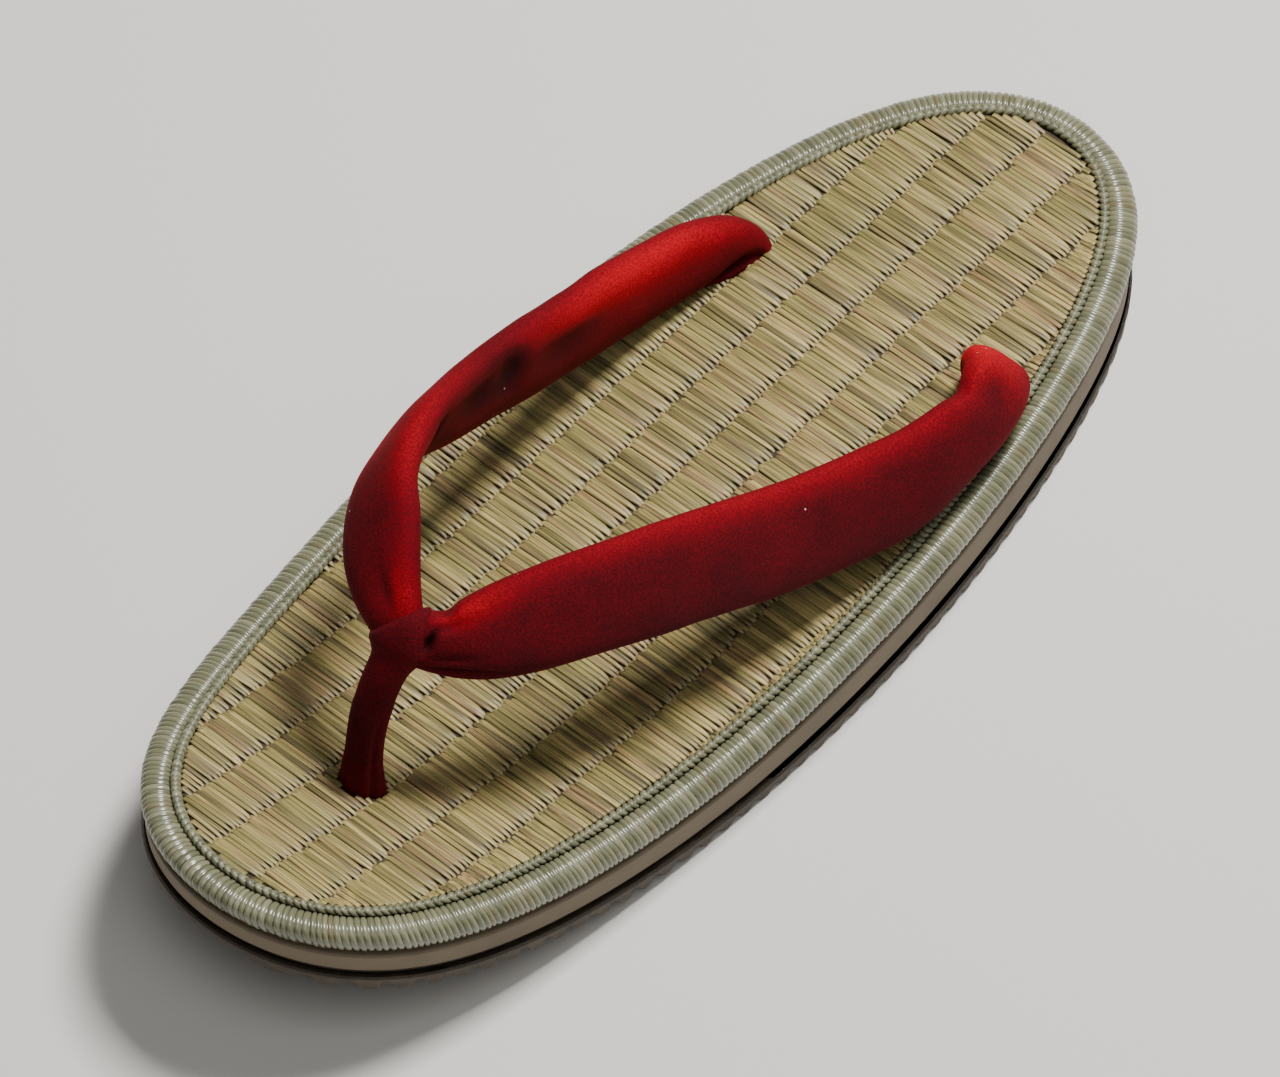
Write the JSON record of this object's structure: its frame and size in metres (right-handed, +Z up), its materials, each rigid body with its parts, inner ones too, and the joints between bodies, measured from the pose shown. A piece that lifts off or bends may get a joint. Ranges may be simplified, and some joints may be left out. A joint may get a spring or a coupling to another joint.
{
  "type": "straw sandal",
  "caption": "Oval straw sandal: woven rush footbed, rush-wound edge roll and welt, foam midsole, ribbed outsole and a padded red velvet thong held by a toe post.",
  "frame": {"origin": "middle of the sole in plan, on the floor that the sandal stands on", "axes": "+Y to the toe, +X to the wearer's right, +Z up"},
  "size_m": [0.0942, 0.2414, 0.0717],
  "materials": {
    "outsole": "matt ribbed rubber",
    "midsole": "smooth cut foam",
    "footbed": "woven rush mat",
    "edge_roll": "glossy wound rush",
    "inner_welt": "wound rush, stitched",
    "thong_upper": "red velvet",
    "toe_post": "folded red velvet"
  },
  "bodies": {
    "root": {"outsole": "outsole", "midsole": "midsole", "footbed": "footbed", "edge_roll": "edge_roll", "inner_welt": "inner_welt", "thong_upper": "thong_upper", "toe_post": "toe_post"}
  },
  "joints": []
}
